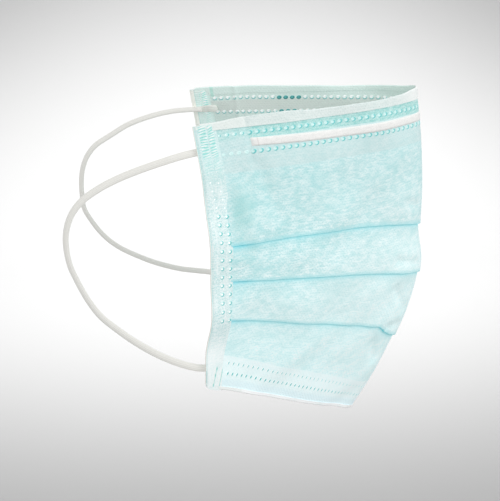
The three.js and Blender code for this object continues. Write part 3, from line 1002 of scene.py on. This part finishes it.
def band_cloth(name, base, thin, edge, edge_width, bars_from, glow):
    """Welded layers: mottled, plain at the ear edge, white on the crests of the weld bars and teal between
    them:
    the fused cloth's own tones, with painted highlight on the crests, painted shade between them and a painted
    glow."""
    finish = Finish(name)
    weave = finish.vector("weave")
    inset, drop, rise = finish.number("inset"), finish.number("drop"), finish.number("rise")
    threads, fine, clouds, bond = cloth_texture(finish, weave)
    streaks = finish.noise(weave, (0.9, 0.16, 1.0), detail=3)
    pressed = finish.step(inset, bars_from - 0.2, bars_from + 0.2)
    crest, bed = finish.number("crest") * pressed, finish.number("bed") * pressed
    foot_edge = finish.step(inset, 0.6, 0.4) * finish.step(abs(rise - 4.2), 2.6, 2.0)
    grain = finish.step(threads * 0.4 + fine * 0.6, 0.38, 0.62)
    colour = finish.layered(
        finish.mixed(grain, base, thin),
        (finish.step(streaks, 0.48, 0.66), 0.5, tint(244, 251, 251)),
        (finish.step(rise, 24.0, 12.0), 0.65, tint(250, 255, 255)),
        (finish.step(clouds, 0.5, 0.72), 0.2, DEEP_TEAL),
        (finish.step(drop, 1.5, 1.1), 0.7, tint(246, 246, 242)),
        (finish.step(drop, 26.0, 17.0), 0.3, tint(176, 214, 212)),
        # teal between the bars: the fused cloth's own, with painted shade
        (bed, 0.85, tint(124, 214, 206)),
        # white on the crests: the fused cloth's own, with painted highlight
        (crest, 0.65, tint(250, 248, 247)),
        (foot_edge, 0.6, tint(120, 190, 196)),
        (finish.step(abs(inset - edge_width - 0.25), 0.25, 0.05), 0.45, tint(170, 214, 212)),
        (finish.step(inset, edge_width + 0.06, edge_width - 0.06), 0.9, edge),
    )
    relief = threads * 0.5 + fine * 0.5 - bond * 0.4
    # painted glow, brightest on the crests
    light = finish.mixed(crest, tint(172, 186, 182), tint(255, 255, 255))
    return finish.cover(colour, 0.75, relief, 0.00008, sheen=0.1, glow=light, glow_strength=glow)


band_outside = band_cloth(
    "side_band", tint(188, 224, 225), tint(240, 249, 249),
    edge=tint(240, 238, 230), edge_width=0.12, bars_from=0.0, glow=0.06,
)
# the inner face's copy glows more: painted light in the shade inside the fold
band_inside = band_cloth(
    "side_band_inner", tint(224, 245, 239), tint(240, 251, 248),
    edge=tint(254, 250, 243), edge_width=1.7, bars_from=3.7, glow=0.3,
)
for name, side in (("right", -1), ("left", 1)):
    share_line = side * (1 - SIDE_BAND_WIDTH * np.linspace(1, 0, BAND_COLUMNS) ** BAND_CROWDING / HALF_WIDTH)
    share_line = share_line[::side]
    length = column_length(share_line)[:, None]
    middle = length - BAND_FOOT_PART - BAND_TOP_PART
    down = np.concatenate([
        np.linspace(0, BAND_TOP_PART, BAND_TOP_ROWS, endpoint=False) * np.ones((BAND_COLUMNS, 1)),
        BAND_TOP_PART + middle * np.linspace(0, 1, BAND_MIDDLE_ROWS, endpoint=False),
        length - BAND_FOOT_PART + (BAND_FOOT_PART + FOOT_PAST) * np.linspace(0, 1, BAND_FOOT_ROWS),
    ], axis=1)
    inset = (1 - np.abs(share_line))[:, None] * HALF_WIDTH * np.ones(down.shape[1])
    outset = EDGE_OUTSET + EDGE_BULGE * np.exp(-((down - BULGE_DROP) / BULGE_REACH) ** 2)
    band_share = side * (1 - (inset - outset * (1 - inset / SIDE_BAND_WIDTH)) / HALF_WIDTH)
    past_corner = np.clip(CORNER_RADIUS - inset, 0, None)
    corner = CORNER_RADIUS - np.sqrt(np.clip(CORNER_RADIUS ** 2 - past_corner ** 2, 0, None))
    drop = down - corner * np.clip((down - length + BAND_FOOT_PART) / BAND_FOOT_PART, 0, 1) ** 3
    rise = length - drop
    lips = [lip_drop(band_share, pleat) for pleat in range(3)]
    bar, bar_mask = bars(inset, drop)
    ridge = foot_ridges(inset, rise, -FURROW_SHIFT)
    furrow = foot_ridges(inset, rise, 0.0) * 0.75 + foot_dots(inset, rise)
    wall = band_wall(inset, drop, lips) + 2 * (BAR_HEIGHT * bar + RIDGE_HEIGHT * (ridge - 0.5 * furrow))
    marks = {
        "inset": inset,
        "crest": np.clip(bar + 0.8 * ridge, 0, 1),
        "bed": np.clip(bar_mask - 1.3 * bar, 0, 1) + np.clip(furrow, 0, 1.2),
    }
    band, runs = walled(f"side_band_{name}_cloth", band_share, drop, 0 * drop, wall, marks)
    dress(band, band_outside, band_inside, runs)
    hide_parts(f"side_band_{name}")

# Weld points
# Small pressed points that fix the plies to each other: two rows along the top, two along the bottom, and two
# columns down each side band. Each goes through all the plies: a white pit with a teal rim, which painted
# shade darkens on the side towards the fold and downwards.
TOP_PITCH = 2.65
BOTTOM_PITCH = 2.34
TOP_WIDTHS = (1.25, 1.2)
# rise, size, core tone and rim tone of each row along the bottom
BOTTOM_ROWS = ((10.6, 0.8, 0.55, 0.35), (6.6, 0.9, 0.85, 0.4))
SIDE_COLUMNS = ((3.5, 0.0), (6.3, 0.5))
SIDE_FIRST = 30.1
SIDE_COUNT_ABOVE, SIDE_COUNT = 4, 13
SIDE_PITCH, SIDE_PITCH_GROWTH = 2.87, 0.0085
# row along the top, from and to where across, and the tone that burnt points have on top of their own
DARK_SPOTS = ((1, 48, 58.5, 1.3), (2, 51, 58, 1.3))
POINT_RADIUS = 0.8
POINT_SIDES = 10
POINT_GLOW = 0.2
# radius in shares of POINT_RADIUS, height above the face, share of the core's tone, share of the rim's tone
POINT_RIM = ((0.3, 0.02, 1.0, 0.0), (0.5, 0.06, 0.3, 0.7), (0.86, 0.06, 0.0, 1.0), (1.12, -0.05, 0.0, 0.4))


def top_row(across, number):
    """Drop of the upper (1) or lower (2) row along the top, which lies a little lower towards the fold.

    On the left, as worn, the rows are nearer to the edge, and reach the right ones' drop at the fold."""
    far = np.abs(across)
    if number == 1:
        right, left = 6.8 - 0.031 * far, 5.6 - 0.02 * far + 1.2 * (1 - glide(far / 15))
    else:
        right, left = 13.0 - 0.03 * far, 10.2 + 2.8 * (1 - glide(far / 45))
    return np.where(across < 0, right, left)


def point_places():
    """Across, drop, width, height, lean, core tone, rim tone, the swing of its painted shade, face and shaded
    side of each point.
    """
    places = []

    def add(*values):
        places.append(np.stack(np.broadcast_arrays(*values), -1))

    reach = HALF_WIDTH - SIDE_BAND_WIDTH - 0.8
    across = np.arange(-reach, reach, TOP_PITCH)
    left, far = across > 0, np.abs(across)
    plain = left | (far < STRIP_END)
    for number, width in enumerate(TOP_WIDTHS, start=1):
        size = np.where(plain, 1.0, 0.8) * glide((reach + 2 - far) / 3)
        spots = [spot[1:] for spot in DARK_SPOTS if spot[0] == number]
        dark = sum(extra * ((across > low) & (across < high)) for low, high, extra in spots)
        core = np.where(left, 0.0, 0.3) + dark
        rim = np.where(left, 0.45, np.where(plain, 0.78, 0.55 if number == 1 else 0.35)) + dark
        swing = np.where(plain, 0.4, 0.4 if number == 1 else 0.12)
        drop, shaded_side = top_row(across, number), np.where(left, 3.0, 0.25)
        add(across, drop, width * size, size, 0.25, core, rim, swing, BODY_WALL / 2, shaded_side)
    across = np.arange(-reach + 1.7, reach - 1.7, BOTTOM_PITCH)
    for rise, size, core, rim in BOTTOM_ROWS:
        drop = column_length(across / HALF_WIDTH) - rise
        add(across, drop, 0.8 * size, size, 0.22, core, rim, 0.5, BODY_WALL / 2, 0.2)
    count = np.arange(-SIDE_COUNT_ABOVE, SIDE_COUNT)
    size, rim, swing = (np.where(count < 0, *pair) for pair in ((0.4, 0.95), (0.2, 0.7), (0.1, 0.48)))
    for side in (-1, 1):
        for inset, lower in SIDE_COLUMNS:
            drop = SIDE_FIRST + lower + SIDE_PITCH * count + SIDE_PITCH_GROWTH * count ** 2
            from_ear = inset - 0.3 * np.clip(-count, 0, None) ** 1.2
            share = side * (1 - from_ear / HALF_WIDTH)
            face = band_wall(from_ear, drop, [lip_drop(share, pleat) for pleat in range(3)]) / 2
            add(share * HALF_WIDTH, drop, size, size, 0.0, 0.0, rim, swing, face, 0.55)
    return np.concatenate(places)


def weld_point_piece(places):
    """All weld points in one mesh: each a closed spindle through the cloth, with a shallow pit on both faces.

    Its rings go from the outer pit over the two rims to the inner pit, and lean with the drop, as a slash
    does."""
    across_at, drop, wide, tall, lean, core, rim, swing, face, shaded_side = places.T
    share, nudge = across_at / HALF_WIDTH, 0.15
    to_fold = -np.sign(across_at)
    centre = on_cloth(share, drop)
    across = unit(on_cloth(share + nudge / HALF_WIDTH, drop) - on_cloth(share - nudge / HALF_WIDTH, drop))
    down = unit(on_cloth(share, drop + nudge) - on_cloth(share, drop - nudge))
    outward = np.cross(down, across)
    angle = np.arange(POINT_SIDES) * 2 * pi / POINT_SIDES
    # painted shade: the rim's tone swings darker towards the shaded side
    towards = np.cos(angle - np.arctan2(shaded_side, to_fold)[:, None])
    rings, tones = [], []
    for sign, circles in ((1, POINT_RIM), (-1, POINT_RIM[::-1])):
        for radius, height, of_core, of_rim in circles:
            y = (radius * POINT_RADIUS * tall)[:, None] * np.sin(angle)
            x = (radius * POINT_RADIUS * wide)[:, None] * np.cos(angle) - (lean * to_fold)[:, None] * y
            z = (sign * (face + height * wide))[:, None] * np.ones(POINT_SIDES)
            axes = ((x, across), (y, down), (z, outward))
            rings.append(sum(distance[..., None] * axis[:, None] for distance, axis in axes))
            tones.append(of_core * core[:, None] + of_rim * (rim[:, None] + swing[:, None] * towards))
    rings, tones = np.stack(rings, 1), np.stack(tones, 1)
    tips = np.stack([centre + (sign * (face + 0.01))[:, None] * outward for sign in (1, -1)], 1)
    points = np.concatenate([(centre[:, None, None] + rings).reshape(len(share), -1, 3), tips], 1)
    tip_tone = core[:, None] * np.ones(2)
    tone = np.concatenate([tones.reshape(len(share), -1), tip_tone], 1)
    shift = (np.arange(len(share)) * points.shape[1])[:, None, None]
    parts = tube_faces(2 * len(POINT_RIM), POINT_SIDES)
    faces = [(part[None] + shift).reshape(-1, part.shape[1]) for part in parts]
    return new_piece("weld_points", points, faces, {"tone": tone.reshape(-1, 1)}, sharp=180)


def fused_cloth():
    """Fused plies: white where pressed clear, teal at the rim, dark where the cover is burnt through; the
    white cores carry a painted glow.
    """
    finish = Finish("weld_points")
    tone = finish.number("tone")
    speck = finish.noise(finish.place(), (2500.0, 2500.0, 2500.0), detail=2)
    colour = finish.layered(
        tint(252, 253, 252),
        (finish.step(tone, 0.05, 0.3), 1.0, tint(212, 243, 241)),
        (finish.step(tone, 0.3, 0.9), 1.0, tint(108, 204, 204)),
        (finish.step(tone, 1.0, 1.7), 1.0, tint(58, 152, 152)),
        (speck, 0.12, tint(222, 244, 243)),
    )
    # painted glow on the white cores
    glow = finish.mixed(finish.step(tone, 0.05, 0.3), colour, tint(0, 0, 0))
    return finish.cover(colour, 0.5, speck, 0.00003, glow=glow, glow_strength=POINT_GLOW)


weld_points = weld_point_piece(point_places())
weld_points.data.materials.append(fused_cloth())

# Welded loop ends
# The last 8 mm of each ear loop, pressed flat and welded to the inner face of the side band. They leave the
# cord with its own section and get thinner and paler along the way.
WELD_LENGTH = 8
WELD_WIDTH = 3.1
WELD_THIN = 0.3
WELD_INSET = 4
WELD_TOP_DROP = 8
WELD_BOTTOM_RISE = 5
WELD_RINGS = 60
WELD_KNOTS = 8
WELD_SPAN_STEPS = 16
CORD_OVERLAP = 8
CORD_SHARE = 0.9
# shares of the way from the cord: where the pressing starts, over how much it grows, where the tip starts
PRESS_FROM, PRESS_OVER, TIP_FROM = 0.12, 0.3, 0.86


def welded_elastic():
    """Elastic melted into the lining: smooth, and nearly the lining's own colour past the cord, with a faint
    painted glow.
    """
    finish = Finish("loop_weld")
    strand = finish.vector("strand")
    _, along, _ = finish.parts(strand)
    fuzz = finish.noise(strand, (1.5, 1.2, 1.0), detail=4)
    colour = finish.mixed(fuzz, tint(240, 244, 238), tint(250, 251, 247))
    colour = finish.mixed(finish.step(along, 9.0, 3.0), colour, tint(222, 222, 217))
    # faint painted glow
    return finish.cover(colour, 0.75, fuzz, 0.00005, sheen=0.1, glow=colour, glow_strength=0.08)


welded = welded_elastic()
way = np.linspace(0, 1, WELD_RINGS)
press = glide((way - PRESS_FROM) / PRESS_OVER)
tip = np.sqrt(np.clip(1 - np.clip((way - TIP_FROM) / (1 - TIP_FROM), 0, 1) ** 2, 0.01, 1))
thickness = between(CORD_SHARE * LOOP_THICKNESS, WELD_THIN, press) * tip
width = between(CORD_SHARE * LOOP_WIDTH, WELD_WIDTH, press) * tip
for name, side in (("right", -1), ("left", 1)):
    cord = loop_centres[name]
    inset = np.linspace(WELD_INSET + 1.5, WELD_INSET + WELD_LENGTH - 2, WELD_KNOTS)
    share = side * (1 - inset / HALF_WIDTH)
    middle = share[WELD_KNOTS // 2]
    bottom = column_length(side) - WELD_BOTTOM_RISE
    ends = (("top", WELD_TOP_DROP, cord[CORD_OVERLAP:0:-4]), ("bottom", bottom, cord[-CORD_OVERLAP:-1:4]))
    for place, weld_drop, leaving in ends:
        pad = on_cloth(share, weld_drop, -BAND_WALL / 2 - WELD_THIN / 3)
        route = np.concatenate([leaving, pad])[None]
        centres = evenly(smooth_route(route, WELD_SPAN_STEPS), WELD_RINGS)[0]
        outward = unit(on_cloth(middle, weld_drop, 1.0) - on_cloth(middle, weld_drop, 0.0))
        forward = unit(np.gradient(centres, axis=0))
        wide = unit(np.cross(forward, outward))
        thin = np.cross(wide, forward)
        weld = elastic_piece(f"loop_end_{name}_{place}", centres, thin, wide, thickness, width)
        weld.data.materials.append(welded)
        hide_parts(f"loop_weld_{name}_{place}")

# Studio
# A wide pale floor that turns up into a wall behind the mask, lit by a round pool of light, under an even
# white sky and one large soft lamp at the front.
FLOOR_DEPTH = -0.36
SWEEP_START = 0.75
SWEEP_RADIUS = 0.55
WALL_TOP = 2.5
HALF_SPAN = 6
POOL_FLATTENED = 0.7
SKY_STRENGTH = 0.97


def studio_sweep():
    """A profile carried sideways: level floor, a quarter circle, an upright wall."""
    turn = np.linspace(0, pi / 2, 25)[1:]
    wall_at = SWEEP_START + SWEEP_RADIUS
    level = [-HALF_SPAN, -2, 0, SWEEP_START]
    x = np.concatenate([level, SWEEP_START + SWEEP_RADIUS * np.sin(turn), [wall_at]])
    z = np.concatenate([[0, 0, 0, 0], SWEEP_RADIUS * (1 - np.cos(turn)), [WALL_TOP]]) + FLOOR_DEPTH
    y = np.linspace(-HALF_SPAN, HALF_SPAN, 13)
    points = np.stack(np.broadcast_arrays(x, y[:, None], z), -1)
    mesh = bpy.data.meshes.new("studio_floor")
    mesh.from_pydata(points.reshape(-1, 3).tolist(), [], sheet_faces(len(y), len(x)).tolist())
    mesh.polygons.foreach_set("use_smooth", np.ones(len(mesh.polygons), bool))
    floor = bpy.data.objects.new("studio_floor", mesh)
    bpy.context.scene.collection.objects.link(floor)
    return floor


def floor_paint():
    """Matt pale paint with the faintest mottle."""
    finish = Finish("studio_floor")
    mottle = finish.noise(finish.place(), (3.0, 3.0, 3.0))
    colour = finish.mixed(mottle * 0.2, tint(167, 167, 167), tint(171, 171, 171))
    return finish.cover(colour, 0.9, mottle, 0.0001)


floor = studio_sweep()
floor.data.materials.append(floor_paint())


def lamp(name, kind, place, aim, power, **settings):
    """A lamp at a place, turned to look at its aim."""
    data = bpy.data.lights.new(name, kind)
    data.energy = power
    for key, value in settings.items():
        setattr(data, key, value)
    made = bpy.data.objects.new(name, data)
    made.location = place
    made.rotation_euler = (Vector(place) - Vector(aim)).to_track_quat("Z", "Y").to_euler()
    bpy.context.scene.collection.objects.link(made)
    return made


pool_settings = {"spot_size": radians(75), "spot_blend": 1.0, "shadow_soft_size": 0.15}
pool = lamp("pool", "SPOT", (0.5, -0.015, 1.1), (0.842, 0.006, -0.33), 171, **pool_settings)
pool.scale = (1, POOL_FLATTENED, 1)
lamp("front", "AREA", (-0.7, -0.75, 0.5), (0, 0.03, -0.06), 4.5, shape="DISK", size=0.7)

sky = bpy.data.worlds.new("sky")
sky.use_nodes = True
sky.node_tree.nodes["Background"].inputs["Color"].default_value = (1, 1, 1, 1)
sky.node_tree.nodes["Background"].inputs["Strength"].default_value = SKY_STRENGTH
bpy.context.scene.world = sky
